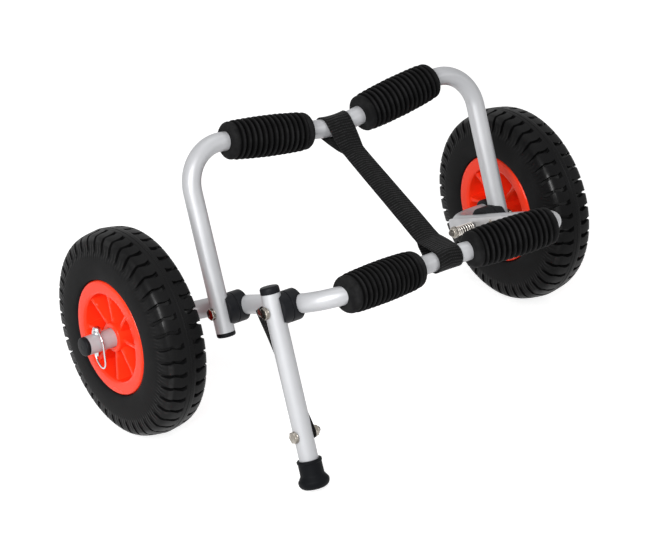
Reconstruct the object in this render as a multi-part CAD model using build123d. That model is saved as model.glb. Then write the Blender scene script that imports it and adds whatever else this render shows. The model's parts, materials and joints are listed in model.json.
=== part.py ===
# Folding kayak cart: two bent aluminium U frames that cross at a pivot, foam padded bars,
# a webbing strap between the bars, a drop-down stand and two airless wheels on pinned axles.
# Millimetres. X runs along the axle, Y to the rear, Z up, and the floor is Z = 0.
import os
from math import atan, cos, degrees, radians, sin, sqrt, tan

from build123d import *

# Wheels
wheel_diameter = 254.0          # over the tread lugs
wheel_setback = 63.0            # from the axle tube's end to the wheel's middle plane
tyre_width = 64.0
tread_width = 45.0              # across the crown, shoulder to shoulder
crown_drop = 5.0                # shoulders below the crown
wall_top_drop = 19.0            # top of the side wall below the crown
wall_top_inset = 2.2            # and inside the widest part, on each side
wall_bulge_drop = 40.0          # widest part below the crown
tread_band = 12.0               # unbroken rubber along the middle of the tread
groove_count = 44               # on each side of the tread
groove_width = 5.4
groove_depth = 5.0              # at the middle band
rim_diameter = 141.0
rim_face_width = 62.0           # over the two lips
rim_lip_width = 16.5            # radial
rim_lip_depth = 7.0             # along the axle
rim_lip_round = 3.0
rim_web = 5.0
rim_seat_depth = 12.0           # tyre seat below the lips' edge
rim_draft = 1.5                 # the well narrows by this from the lip to the web
rib_count = 8
rib_thickness = 4.0
rib_start = 37.0                # degrees from the top, of the first rib
rib_step = 4.0                  # ribs below the hub's end and the lips
hub_diameter = 36.0
hub_length = 56.0

# Tubes
tube_diameter = 23.0
tube_wall = 2.0
bend_radius = 48.0              # at the centre line
vertex_radius = 120.0           # where each bar dips in the middle
axle_length = 718.0             # tube end to tube end
leg_setback = 81.5              # from a wheel's middle plane to the rear leg beside it
leg_offset = 30.0               # from a rear leg to the front leg beside it
front_reach = 255.0             # axle to the front bar's corners, along the leg
pivot_reach = 75.0              # axle to the fold pivot, along the leg
rear_reach = 200.0              # fold pivot to the rear bar's corners
rear_tail = 25.0                # rear tube below the pivot
bar_dip_angle = 8.0             # each half bar falls this much towards the middle
opening_angle = 88.5            # between the two frames
park_lean = 22.75               # how far the open frames lean towards the stand

# Foam pads
pad_diameter = 49.0             # in the middle of each sleeve
pad_end_diameter = 45.0
pad_round = 6.0                 # at the rims of its ends
pad_inner_end = 40.0            # from the cart's middle plane
pad_leg_gap = 29.5              # outer end to the front leg's centre line

# Pivots
saddle_diameter = 38.0
saddle_depth = 13.0             # how far an outer saddle half reaches along the bolt
saddle_grip = 7.0               # inner half past the middle of the tube that it cups
bolt_diameter = 8.0
bolt_head_width = 13.0          # across flats
bolt_head_height = 4.3
nut_height = 6.5
bolt_end = 2.5                  # thread beyond the nut
running_gap = 0.05              # radial, round a bolt or an axle
face_gap = 0.3                  # between faces that turn on each other

# Lock side
lock_plate_start = 27.0         # from the axle, along the leg
lock_plate_gap = 2.0            # plate's end short of the stand pivot's reach
lock_plate_width = 21.0
lock_plate_thickness = 3.0
lock_plate_corner = 4.0
rivet_diameter = 4.0
rivet_head_diameter = 7.0
rivet_head_height = 1.2
rivet_gap = 39.0                # rivet from the fold pivot, along the leg
rivet_side = 4.0                # and off the leg's centre line
spring_length = 27.0
spring_radius = 5.4             # to the wire's centre
spring_wire = 1.6
spring_turns = 8

# Stand
stand_bend_gap = 7.8            # stand's pivot to the start of the front bar's bend
stand_head = 18.0               # stand tube above its pivot
stand_lean = 21.5               # from upright
foot_diameter = 37.0
foot_collar_diameter = 29.0
foot_height = 34.5
foot_flare_height = 15.0        # where the flared base meets the collar
foot_round = 8.0                # rolled edge that the stand rests on
foot_sleeve = 25.0              # how deep the tube sits in the foot
strap_bolt_height = 64.0        # above the foot's underside

# Straps
web_width = 38.0
web_thickness = 1.8
web_loop_length = 58.0          # a bar's centre to where its loop closes
web_lap = 35.0                  # doubled webbing beyond each loop
stand_strap_width = 20.0
stand_strap_thickness = 1.6
strap_anchor_gap = 55.0         # anchor from the stand's pivot, along the leg
strap_anchor_drop = 6.0         # anchor below the leg's centre line

# Small fittings
plug_flange = 6.0
plug_round = 2.4
plug_depth = 12.0
pin_setback = 15.0              # lynch pin from the tube's end
pin_diameter = 6.0
pin_head_diameter = 10.0
pin_head_height = 9.0
pin_tail = 6.0                  # pin below the tube
ring_wire = 2.5
ring_width = 31.0               # to the wire's centre
ring_height = 50.0
ring_drop = 9.0                 # ring's middle below the axle
spacer_diameter = 33.0
spacer_length = 20.0

# Worked out from the sizes above
wheel_radius = wheel_diameter / 2
tube_radius = tube_diameter / 2
bolt_radius = bolt_diameter / 2
rivet_radius = rivet_diameter / 2
bolt_hole = bolt_radius + running_gap
axle_half = axle_length / 2
wheel_x = axle_half - wheel_setback
rear_x = wheel_x - leg_setback
front_x = rear_x - leg_offset
saddle_x = rear_x - leg_offset / 2
outer_skin = rear_x + tube_radius
inner_skin = front_x - tube_radius
front_tilt = opening_angle / 2 + park_lean
rear_tilt = opening_angle / 2 - park_lean
corner_length = bend_radius * tan(radians(90 + bar_dip_angle) / 2)
stand_reach = front_reach - corner_length - stand_bend_gap

axle_centre = Vector(0, 0, wheel_radius)
leg_direction = Vector(0, -sin(radians(front_tilt)), cos(radians(front_tilt)))
fold_pivot = axle_centre + leg_direction * pivot_reach
stand_pivot = axle_centre + leg_direction * stand_reach

# The stand's rolled edge touches the floor: its centre lies one radius above it
foot_radius = foot_diameter / 2
edge_height = stand_pivot.Z - foot_round - (foot_radius - foot_round) * sin(radians(stand_lean))
stand_length = foot_round + edge_height / cos(radians(stand_lean))

# In each frame's own place, Z runs along its legs and X along the axle
front_place = Pos(axle_centre) * Rot(front_tilt, 0, 0)
rear_place = Pos(fold_pivot) * Rot(-rear_tilt, 0, 0)
stand_place = Pos(stand_pivot) * Rot(-stand_lean, 0, 0)

upward = (Align.CENTER, Align.CENTER, Align.MIN)
sides = ((-1, "left"), (1, "right"))
nodes = {}


def rod(radius, x_start, x_end, y=0, z=0):
    """A round bar along X."""
    length = abs(x_end - x_start)
    return Pos((x_start + x_end) / 2, y, z) * Rot(0, 90, 0) * Cylinder(radius, length)


def hexagon(width, x_start, x_end):
    """A hexagonal prism along X, centred on the X axis."""
    profile = RegularPolygon(width / 2, 6, major_radius=False)
    return Pos(x_start, 0, 0) * Rot(0, 90, 0) * extrude(profile, x_end - x_start)


def frame_points(half_span, reach, foot):
    """Corners of a U in the XZ plane, its bar dipping in the middle."""
    dip = half_span * tan(radians(bar_dip_angle))
    left = [(-half_span, 0, foot), (-half_span, 0, reach)]
    right = [(half_span, 0, reach), (half_span, 0, foot)]
    return left + [(0, 0, reach - dip)] + right


front_points = frame_points(front_x, front_reach, 0)
front_points = [(-axle_half, 0, 0)] + front_points + [(axle_half, 0, 0)]
front_path = FilletPolyline(
    *front_points, radius=[bend_radius, bend_radius, vertex_radius, bend_radius, bend_radius]
)
rear_path = FilletPolyline(
    *frame_points(rear_x, rear_reach, -rear_tail),
    radius=[bend_radius, vertex_radius, bend_radius],
)


def along(path, radius):
    """A round bar that follows a path."""
    section = Plane(origin=path @ 0, z_dir=path % 0) * Circle(radius)
    return sweep(section, path=path)


front_bar = along(front_path, tube_radius)
front_core = along(front_path, tube_radius - tube_wall)
rear_bar = along(rear_path, tube_radius)
rear_core = along(rear_path, tube_radius - tube_wall)


# Frame tubes, drilled for the bolts, the rivets and the lynch pins

def pin_hole(side):
    """Upright in the parked cart, so it is turned back in the frame's own place."""
    x = side * (axle_half - pin_setback)
    upright = Rot(-front_tilt, 0, 0) * Cylinder(pin_diameter / 2 + running_gap, 3 * tube_diameter)
    return Pos(x, 0, 0) * upright


rivet_reach = pivot_reach + rivet_gap
anchor_reach = stand_reach - strap_anchor_gap
front_tube = front_bar - front_core
for reach in (pivot_reach, stand_reach):
    front_tube -= rod(bolt_hole, -outer_skin, 1 - inner_skin, z=reach)
front_tube -= rod(bolt_hole, inner_skin - 1, outer_skin, z=pivot_reach)
front_tube -= rod(rivet_radius, inner_skin - 1, front_x, y=rivet_side, z=rivet_reach)
front_tube -= rod(rivet_radius, -saddle_x, -front_x, y=-strap_anchor_drop, z=anchor_reach)
for side, _ in sides:
    front_tube -= pin_hole(side)
nodes["front_frame_tube"] = front_place * front_tube

rear_tube = rear_bar - rear_core
for side, _ in sides:
    rear_tube -= rod(bolt_hole, side * (rear_x - tube_diameter), side * (rear_x + tube_diameter))
nodes["rear_frame_tube"] = rear_place * rear_tube


# Foam pads: straight barrelled sleeves on each half bar, bored for the bar inside them

pad_radius = pad_diameter / 2
pad_end_radius = pad_end_diameter / 2
pad_outer_end = front_x - pad_leg_gap


def pad(bar, half_span, reach, side):
    length = (pad_outer_end - pad_inner_end) / cos(radians(bar_dip_angle))
    shoulder = pad_end_radius - pad_round
    lower_arc = RadiusArc((shoulder, 0), (pad_end_radius, pad_round), -pad_round)
    barrel = ThreePointArc(
        (pad_end_radius, pad_round), (pad_radius, length / 2), (pad_end_radius, length - pad_round)
    )
    upper_arc = RadiusArc((pad_end_radius, length - pad_round), (shoulder, length), -pad_round)
    spine = Polyline((shoulder, length), (0, length), (0, 0), (shoulder, 0))
    profile = make_face(Curve() + [lower_arc, barrel, upper_arc, spine])
    sleeve = revolve(Plane.XZ * profile, Axis.Z)
    height = reach - (half_span - pad_inner_end) * tan(radians(bar_dip_angle))
    outward = (side * cos(radians(bar_dip_angle)), 0, sin(radians(bar_dip_angle)))
    seat = Plane(origin=(side * pad_inner_end, 0, height), z_dir=outward)
    return seat.location * sleeve - bar


for side, name in sides:
    nodes[f"front_pad_{name}"] = front_place * pad(front_bar, front_x, front_reach, side)
    nodes[f"rear_pad_{name}"] = rear_place * pad(rear_bar, rear_x, rear_reach, side)


# Saddles: two halves face to face on each pivot, each cupping its own tube. The outer
# half is a disc, and the inner half grips the front leg past its middle.

saddle_radius = saddle_diameter / 2
disc_gap = face_gap / 2


def outer_saddle(side):
    disc = rod(saddle_radius, side * (saddle_x + disc_gap), side * (saddle_x + saddle_depth))
    disc -= Pos(side * rear_x, 0, 0) * Cylinder(tube_radius, 2 * saddle_diameter)
    return disc - rod(bolt_hole, side * front_x, side * outer_skin)


def inner_saddle(side, reach):
    cup = rod(saddle_radius, side * (saddle_x - disc_gap), side * (front_x - saddle_grip), z=reach)
    return cup - front_bar - rod(bolt_hole, side * inner_skin, side * outer_skin, z=reach)


for side, name in sides:
    nodes[f"rear_saddle_{name}"] = rear_place * outer_saddle(side)
    nodes[f"front_saddle_{name}"] = front_place * inner_saddle(side, pivot_reach)
nodes["stand_saddle"] = stand_place * outer_saddle(-1)
nodes["leg_saddle"] = front_place * inner_saddle(-1, stand_reach)


# Bolts and nuts, built on the pivot axis

def bolt(side, head_x, tip_x):
    """Hex bolt along X with its head outboard of head_x."""
    shank = rod(bolt_radius, side * tip_x, side * head_x)
    return shank + hexagon(bolt_head_width, side * head_x, side * (head_x + bolt_head_height))


def nut(side, face_x):
    """Hex nut along X, seated outboard on face_x, bored right through for its bolt."""
    body = hexagon(bolt_head_width, side * (face_x - nut_height), side * face_x)
    return body - rod(bolt_radius, side * (face_x - 2 * nut_height), side * (face_x + 1))


head_x = outer_skin + face_gap
nut_tip_x = inner_skin - nut_height - bolt_end
fold_axis = Pos(fold_pivot) * Rot(front_tilt, 0, 0)
stand_axis = Pos(stand_pivot) * Rot(front_tilt, 0, 0)
nodes["pivot_bolt_left"] = fold_axis * bolt(-1, head_x, nut_tip_x)
nodes["pivot_nut_left"] = fold_axis * nut(-1, inner_skin)
nodes["stand_bolt"] = stand_axis * bolt(-1, head_x, nut_tip_x)
nodes["stand_nut"] = stand_axis * nut(-1, inner_skin)

spring_seat = inner_skin - lock_plate_thickness
lock_nut_x = spring_seat - spring_length
nodes["pivot_bolt_right"] = fold_axis * bolt(1, head_x, lock_nut_x - nut_height - bolt_end)
nodes["lock_nut"] = fold_axis * nut(1, lock_nut_x)


# Lock side: flat plate inside the front right leg, and the spring on the long bolt

lock_plate_length = stand_reach - lock_plate_gap - lock_plate_start
plate_profile = RectangleRounded(lock_plate_length, lock_plate_width, lock_plate_corner)
plate = Rot(0, 90, 0) * extrude(plate_profile, lock_plate_thickness)
plate = Pos(spring_seat, 0, lock_plate_start + lock_plate_length / 2) * plate
plate -= rod(bolt_hole, spring_seat - 1, inner_skin + 1, z=pivot_reach)
plate -= rod(rivet_radius, spring_seat - 1, inner_skin + 1, y=rivet_side, z=rivet_reach)
nodes["lock_plate"] = front_place * plate


def rivet(side, head_x, seat_x, tip_x):
    """Blind rivet along X: a low round head on a plain body."""
    body = rod(rivet_radius, side * head_x, side * tip_x)
    return body + rod(rivet_head_diameter / 2, side * head_x, side * seat_x)


plate_rivet = rivet(1, spring_seat - rivet_head_height, spring_seat, inner_skin + 2 * tube_wall)
nodes["lock_plate_rivet"] = front_place * Pos(0, rivet_side, rivet_reach) * plate_rivet

coil_height = spring_length - spring_wire
coil_path = Helix(coil_height / spring_turns, coil_height, spring_radius)
coil_section = Plane(origin=coil_path @ 0, z_dir=coil_path % 0) * RegularPolygon(spring_wire / 2, 6)
coil = sweep(coil_section, path=coil_path, is_frenet=True)
coil_start = lock_nut_x + spring_wire / 2
nodes["lock_spring"] = fold_axis * Pos(coil_start, 0, 0) * Rot(0, 90, 0) * coil


# Stand: tube, rubber foot and the bolt that holds its strap

stand_tube_length = stand_head + stand_length - (foot_height - foot_sleeve)
stand_tube = Cylinder(tube_radius, stand_tube_length)
stand_tube -= Cylinder(tube_radius - tube_wall, stand_tube_length)
stand_tube = Pos(-rear_x, 0, stand_head - stand_tube_length / 2) * stand_tube
strap_bolt_z = strap_bolt_height - stand_length
for height in (0, strap_bolt_z):
    stand_tube -= rod(bolt_hole, -rear_x - tube_diameter, -rear_x + tube_diameter, z=height)
nodes["stand_tube"] = stand_place * stand_tube

collar_radius = foot_collar_diameter / 2
foot_edge = RadiusArc((foot_radius - foot_round, 0), (foot_radius, foot_round), -foot_round)
foot_side = Polyline(
    (foot_radius, foot_round), (collar_radius, foot_flare_height), (collar_radius, foot_height),
    (0, foot_height), (0, 0), (foot_radius - foot_round, 0),
)
foot = revolve(Plane.XZ * make_face(Curve() + [foot_edge, foot_side]), Axis.Z)
foot -= Pos(0, 0, foot_height - foot_sleeve) * Cylinder(tube_radius, foot_sleeve, align=upward)
nodes["stand_foot"] = stand_place * Pos(-rear_x, 0, -stand_length) * foot

strap_inner = rear_x - tube_radius
strap_gap = leg_offset - tube_diameter
strap_nut_x = strap_inner - (strap_gap + stand_strap_thickness) / 2
strap_bolt_place = stand_place * Pos(0, 0, strap_bolt_z)
nodes["strap_bolt"] = strap_bolt_place * bolt(-1, outer_skin, strap_nut_x - nut_height - bolt_end)
nodes["strap_nut"] = strap_bolt_place * nut(-1, strap_nut_x)

anchor_place = front_place * Pos(0, -strap_anchor_drop, anchor_reach)
anchor_seat = saddle_x + stand_strap_thickness / 2
anchor = rivet(-1, anchor_seat + rivet_head_height, anchor_seat, front_x + tube_radius - 2 * tube_wall)
nodes["strap_anchor"] = anchor_place * anchor


# Stand strap: flat webbing from the anchor to the stand's lower bolt

strap_ends = (anchor_place.position, strap_bolt_place.position)
strap_run = strap_ends[1] - strap_ends[0]
strap_middle = (strap_ends[0] + strap_ends[1]) / 2
strap_plane = Plane(origin=(-saddle_x, strap_middle.Y, strap_middle.Z), x_dir=strap_run, z_dir=(1, 0, 0))
strap_profile = SlotCenterToCenter(strap_run.length, stand_strap_width)
strap_profile -= Pos(-strap_run.length / 2, 0) * Circle(rivet_radius)
strap_profile -= Pos(strap_run.length / 2, 0) * Circle(bolt_hole)
nodes["stand_strap"] = extrude(strap_plane * strap_profile, stand_strap_thickness / 2, both=True)


# Web strap: one flat run on the line between the bars' middles, with a loop round each
# bar that closes in a point, and doubled webbing beyond that point

vertex_rise = vertex_radius * (1 / cos(radians(bar_dip_angle)) - 1)
web_sag = web_width ** 2 / (8 * vertex_radius)     # the bar's curve over the strap's width


def bar_middle(place, reach, half_span):
    """Mid height of the bar's curve under the strap."""
    height = reach - half_span * tan(radians(bar_dip_angle)) + vertex_rise + web_sag / 2
    return (place * Pos(0, 0, height)).position


def drop_shape(radius, length):
    """A circle drawn out to a point at length along X."""
    touch_x = radius ** 2 / length
    touch_y = radius * sqrt(1 - (radius / length) ** 2)
    point = Polyline((touch_x, -touch_y), (length, 0), (touch_x, touch_y), close=True)
    return Circle(radius) + make_face(point)


front_middle = bar_middle(front_place, front_reach, front_x)
rear_middle = bar_middle(rear_place, rear_reach, rear_x)
web_run = rear_middle - front_middle
web_place = Plane(origin=(front_middle + rear_middle) / 2, x_dir=web_run, z_dir=(1, 0, 0))
loop_inner = tube_radius + web_sag / 2 + face_gap
loop_outer = loop_inner + web_thickness
loop = drop_shape(loop_outer, web_loop_length)
loop -= drop_shape(loop_inner, web_loop_length * loop_inner / loop_outer)
lap_start = web_loop_length - web_thickness / sin(atan(loop_outer / web_loop_length))
web_half = web_run.length / 2
web_profile = Rectangle(web_run.length - 2 * lap_start, web_thickness)
for end, turn in ((-1, 0), (1, 180)):
    web_profile += Pos(end * web_half, 0) * Rot(0, 0, turn) * loop
    lap_middle = web_half - lap_start - web_lap / 2
    web_profile += Pos(end * lap_middle, 0) * Rectangle(web_lap, 2 * web_thickness)
nodes["web_strap"] = extrude(web_place * web_profile, web_width / 2, both=True)


# Plugs, caps, spacers, lynch pins

def plug(depth):
    """Round plastic plug, its flange up from Z = 0 and its stem down into the tube."""
    flange = Cylinder(tube_radius, plug_flange, align=upward)
    flange = fillet(flange.edges().sort_by(Axis.Z)[-1], plug_round)
    stem = Cylinder(tube_radius - tube_wall, depth, align=(Align.CENTER, Align.CENTER, Align.MAX))
    return flange + stem


nodes["stand_plug"] = stand_place * Pos(-rear_x, 0, stand_head) * plug(stand_head - bolt_radius - 1)
hub_inner = wheel_x - hub_length / 2 - face_gap
spacer_inner = hub_inner - spacer_length
pin_x = axle_half - pin_setback
pin_length = tube_diameter + pin_tail
ring_section = Circle(ring_wire / 2)
for side, name in sides:
    tail = Pos(side * rear_x, 0, -rear_tail) * Rot(180, 0, 0)
    nodes[f"rear_plug_{name}"] = rear_place * tail * plug(plug_depth)
    axle_end = Pos(side * axle_half, 0, wheel_radius) * Rot(0, side * 90, 0)
    nodes[f"axle_cap_{name}"] = axle_end * plug(plug_depth - pin_diameter)

    spacer = rod(spacer_diameter / 2, side * spacer_inner, side * hub_inner)
    spacer -= rod(tube_radius, side * (spacer_inner - 1), side * (hub_inner + 1))
    nodes[f"wheel_spacer_{name}"] = Pos(axle_centre) * spacer

    pin = Pos(0, 0, -pin_tail / 2) * Cylinder(pin_diameter / 2, pin_length)
    pin += Pos(0, 0, tube_radius) * Cylinder(pin_head_diameter / 2, pin_head_height, align=upward)
    outline = Plane.YZ * Pos(0, -ring_drop) * SlotOverall(ring_height, ring_width, rotation=90)
    ring_path = outline.face().outer_wire()
    ring = sweep(Plane(origin=ring_path @ 0, z_dir=ring_path % 0) * ring_section, path=ring_path)
    nodes[f"lynch_pin_{name}"] = Pos(side * pin_x, 0, wheel_radius) * (pin - ring)
    nodes[f"lynch_ring_{name}"] = Pos(side * pin_x, 0, wheel_radius) * ring


# Wheels: airless tyre on a ribbed plastic rim, built about the X axis

half_tyre = tyre_width / 2
half_rim = rim_face_width / 2
rim_radius = rim_diameter / 2
seat_radius = rim_radius - rim_seat_depth
barrel_half = half_rim - rim_lip_depth
lip_inner = rim_radius - rim_lip_width
well_radius = lip_inner - rim_draft
wall_top = (half_tyre - wall_top_inset, wheel_radius - wall_top_drop)
groove_angle = degrees(groove_width / wheel_radius)


def turned(half_profile):
    """A ring turned about the X axis from the X > 0 half of its profile of (x, radius)."""
    mirrored = [(-x, radius) for x, radius in reversed(half_profile)]
    return revolve(make_face(Polyline(*half_profile, *mirrored, close=True)), Axis.X)


def groove(side):
    """One tread groove, a wedge about the axle whose floor runs out on the side wall."""
    start = tread_band / 2
    floor_start = (start, wheel_radius - groove_depth)
    floor_end = (half_tyre, wall_top[1])
    roof = wheel_radius + groove_depth
    outline = Polyline(floor_start, floor_end, (half_tyre, roof), (start, roof), close=True)
    slot = revolve(make_face(outline), Axis.X, revolution_arc=groove_angle)
    return slot if side > 0 else mirror(slot, Plane.YZ)


def tyre_solid():
    """Foam rubber ring: flat seat, bulged walls, and a crown cut by a groove at each pitch."""
    tyre = turned([
        (0, wheel_radius), (tread_width / 2, wheel_radius - crown_drop), wall_top,
        (half_tyre, wheel_radius - wall_bulge_drop), (half_rim, rim_radius),
        (barrel_half, rim_radius), (barrel_half, seat_radius),
    ])
    pitch = 360 / groove_count
    return tyre - [Rot(i * pitch, 0, 0) * groove(side) for i in range(groove_count) for side in (-1, 1)]


def rim_solid():
    """Moulded rim: two rounded lips, a middle web, ribs on both faces and a long hub."""
    rim = turned([
        (barrel_half, seat_radius), (barrel_half, rim_radius), (half_rim - rim_lip_round, rim_radius),
        (half_rim, rim_radius - rim_lip_round), (half_rim, lip_inner + rim_lip_round),
        (half_rim - rim_lip_round, lip_inner), (rim_web / 2, well_radius), (rim_web / 2, tube_radius),
    ])
    rim += rod(hub_diameter / 2, -hub_length / 2, hub_length / 2)
    rib_room = turned([
        (half_rim - rib_step, well_radius + rim_draft), (hub_length / 2 - rib_step, tube_radius),
    ])
    for i in range(rib_count):
        blade = Pos(0, 0, lip_inner / 2) * Box(rim_face_width, rib_thickness, lip_inner)
        rim += Rot(rib_start + 360 / rib_count * i, 0, 0) * blade & rib_room
    return rim - rod(tube_radius + running_gap, -hub_length, hub_length)


tyre = tyre_solid()
rim = rim_solid()
for side, name in sides:
    nodes[f"tyre_{name}"] = Pos(side * wheel_x, 0, wheel_radius) * tyre
    nodes[f"rim_{name}"] = Pos(side * wheel_x, 0, wheel_radius) * rim


# The origin sits on the floor in the middle of the cart's footprint

whole = Compound(children=[Compound(list(node.solids())) for node in nodes.values()])
box = whole.bounding_box()
middle_y = (box.min.Y + box.max.Y) / 2
os.makedirs("parts", exist_ok=True)
for name, node in nodes.items():
    export_step(Pos(0, -middle_y, -box.min.Z) * node, f"parts/{name}.step")
print("axle", axle_centre - Vector(0, middle_y, box.min.Z))
print("fold pivot", fold_pivot - Vector(0, middle_y, box.min.Z))
print("stand pivot", stand_pivot - Vector(0, middle_y, box.min.Z))
print("wheel x, rear leg x, stand reach", wheel_x, rear_x, stand_reach)
print("size", box.size)
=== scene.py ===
# Folding kayak cart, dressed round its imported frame.
# Metres: X runs along the axle, Y to the rear, Z up, and the floor is Z = 0.
import json
from math import atan2, cos, pi, radians, sin, sqrt, tan

import bmesh
import bpy
from mathutils import Matrix, Vector, noise


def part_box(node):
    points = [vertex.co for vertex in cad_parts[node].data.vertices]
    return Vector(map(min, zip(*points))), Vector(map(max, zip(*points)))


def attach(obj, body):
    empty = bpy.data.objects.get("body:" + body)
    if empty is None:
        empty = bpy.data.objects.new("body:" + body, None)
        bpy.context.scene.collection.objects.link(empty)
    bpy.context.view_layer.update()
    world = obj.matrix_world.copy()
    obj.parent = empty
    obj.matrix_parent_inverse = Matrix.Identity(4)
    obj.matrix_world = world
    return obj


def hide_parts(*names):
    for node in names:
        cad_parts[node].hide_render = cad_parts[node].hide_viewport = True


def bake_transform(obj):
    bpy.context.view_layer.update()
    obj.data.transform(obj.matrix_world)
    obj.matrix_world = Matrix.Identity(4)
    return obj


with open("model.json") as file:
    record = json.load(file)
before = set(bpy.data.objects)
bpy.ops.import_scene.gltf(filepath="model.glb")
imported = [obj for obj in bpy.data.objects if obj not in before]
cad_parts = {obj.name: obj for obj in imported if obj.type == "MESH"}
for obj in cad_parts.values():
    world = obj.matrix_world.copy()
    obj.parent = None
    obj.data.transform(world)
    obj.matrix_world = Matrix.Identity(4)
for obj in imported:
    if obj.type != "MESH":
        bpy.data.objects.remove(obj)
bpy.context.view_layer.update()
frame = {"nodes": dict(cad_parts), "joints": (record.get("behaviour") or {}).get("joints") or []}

scene = bpy.context.scene
mm = 0.001
sides = ((-1, "Left", "left"), (1, "Right", "right"))  # sign of X, word in a name, word in a node


def centreOf(node):
    low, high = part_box(node)
    return (low + high) / 2


def framePlace(origin, legDirection):
    # Z runs along a frame's legs and X along the axle
    across = Vector((1, 0, 0))
    turn = Matrix((across, legDirection.cross(across), legDirection)).transposed().to_4x4()
    return Matrix.Translation(origin) @ turn


def alongX(side, x, place=Matrix()):
    # a turned piece's Z axis, laid along X and pointing outboard
    return place @ Matrix.Translation((side * x, 0, 0)) @ Matrix.Rotation(side * pi / 2, 4, "Y")


joints = {joint["name"]: Vector(joint["pos_m"]) for joint in frame["joints"]}
foldPivot = joints["rear_frame_fold"]
standPivot = joints["stand_fold"]
axle = joints["wheel_left_spin"].copy()
wheelX = abs(axle.x)
axle.x = 0

# reaches run from the axle, or the fold pivot, to the bar's bends, and the tail below the pivot
cart = {"legStep": 30 * mm, "axleEnd": 63 * mm, "frontReach": 255 * mm, "rearReach": 200 * mm,
        "tail": 25 * mm, "lean": radians(21.5)}
tube = {"radius": 11.5 * mm, "bend": 48 * mm, "vertex": 120 * mm, "dip": radians(8), "segments": 40}
rearX = abs(centreOf("stand_tube").x)
frontX = rearX - cart["legStep"]
saddleX = (rearX + frontX) / 2
axleHalf = wheelX + cart["axleEnd"]
outerSkin = rearX + tube["radius"]
innerSkin = frontX - tube["radius"]
faceGap = 0.3 * mm
pivotReach = (foldPivot - axle).length
standReach = (standPivot - axle).length
leanWay = Vector((0, sin(cart["lean"]), cos(cart["lean"])))
axlePlace = Matrix.Translation(axle)
frontPlace = framePlace(axle, (foldPivot - axle).normalized())
rearPlace = framePlace(foldPivot, leanWay)
standPlace = framePlace(standPivot, leanWay)
bars = (("front", frontX, cart["frontReach"], frontPlace), ("rear", rearX, cart["rearReach"], rearPlace))
foldAxis = frontPlace @ Matrix.Translation((0, 0, pivotReach))
standAxis = frontPlace @ Matrix.Translation((0, 0, standReach))


# Shader maths: a wrapped socket, whose operators add Math nodes

class Shader:
    def __init__(self, tree, socket=None):
        self.tree = tree
        self.socket = socket

    def node(self, kind, settings=None, sockets=None, output=0):
        made = self.tree.nodes.new(kind)
        for name, value in (settings or {}).items():
            setattr(made, name, value)
        for name, value in (sockets or {}).items():
            if isinstance(value, Shader):
                self.tree.links.new(value.socket, made.inputs[name])
            else:
                made.inputs[name].default_value = value
        return Shader(self.tree, made.outputs[output])

    def math(self, operation, first, second=0.0):
        return self.node("ShaderNodeMath", {"operation": operation}, {0: first, 1: second})

    def __add__(self, other):
        return self.math("ADD", self, other)

    def __sub__(self, other):
        return self.math("SUBTRACT", self, other)

    def __rsub__(self, other):
        return self.math("SUBTRACT", other, self)

    def __mul__(self, other):
        return self.math("MULTIPLY", self, other)

    def __pow__(self, other):
        return self.math("POWER", self, other)

    __radd__ = __add__
    __rmul__ = __mul__

    def wave(self):
        return self.math("SINE", self)

    def size(self):
        return self.math("ABSOLUTE", self)

    def between(self, low, high):
        # 0 below low and 1 above high
        sockets = {"Value": self, "From Min": low, "From Max": high}
        return self.node("ShaderNodeMapRange", {"interpolation_type": "SMOOTHSTEP"}, sockets)

    def blend(self, first, second):
        # self is how much of the second colour shows
        settings = {"data_type": "RGBA", "clamp_factor": True}
        return self.node("ShaderNodeMix", settings, {0: self, 6: first, 7: second}, 2)

    def noise(self, where, scale, detail=2.0, roughness=0.5):
        sockets = {"Vector": where, "Scale": scale, "Detail": detail, "Roughness": roughness}
        return self.node("ShaderNodeTexNoise", {}, sockets)

    def bump(self, height, distance, strength):
        sockets = {"Height": height, "Distance": distance, "Strength": strength}
        return self.node("ShaderNodeBump", {}, sockets)

    def places(self):
        return self.node("ShaderNodeTexCoord", output="Object")

    def stretched(self, where, scale, shift=(0, 0, 0)):
        return self.node("ShaderNodeMapping", {}, {"Vector": where, "Location": shift, "Scale": scale})

    def parts(self, where):
        split = self.node("ShaderNodeSeparateXYZ", {}, {"Vector": where})
        return [Shader(self.tree, socket) for socket in split.socket.node.outputs]


def finish(name, fixed, pattern):
    # fixed sockets of the Principled shader, and a function that gives the varied ones
    material = bpy.data.materials.new(name)
    material.use_nodes = True
    tree = material.node_tree
    surface = tree.nodes["Principled BSDF"]
    for socket, value in fixed.items():
        surface.inputs[socket].default_value = value
    for socket, value in pattern(Shader(tree)).items():
        tree.links.new(value.socket, surface.inputs[socket])
    return material


def colour(red, green, blue):
    return (red, green, blue, 1)


def aluminiumPattern(shader):
    # satin tube: fine blasted grain, faint handling marks and cloudy anodising
    where = shader.places()
    cloud = shader.noise(where, 9.0, 3.0)
    grain = shader.noise(where, 2600.0, 2.0, 0.7)
    drawn = shader.noise(where, 420.0, 4.0, 0.6)
    marks = shader.noise(where, 55.0, 6.0, 0.75).between(0.6, 0.72)
    tone = cloud.between(0.3, 0.7)
    return {
        "Base Color": tone.blend(colour(0.43, 0.435, 0.45), colour(0.49, 0.495, 0.51)),
        "Roughness": 0.34 + 0.08 * drawn + 0.05 * marks,
        "Normal": shader.bump(grain + 0.5 * drawn, 0.00004, 0.35),
    }


def platePattern(shader):
    # rolled plate: long fine scratches
    where = shader.places()
    scratches = shader.noise(shader.stretched(where, (1, 14, 90)), 60.0, 5.0, 0.7)
    cloud = shader.noise(where, 30.0, 2.0)
    return {
        "Base Color": cloud.between(0.3, 0.7).blend(colour(0.42, 0.42, 0.43),
                                                    colour(0.52, 0.52, 0.53)),
        "Roughness": 0.3 + 0.22 * scratches,
        "Normal": shader.bump(scratches, 0.00005, 0.5),
    }


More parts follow.
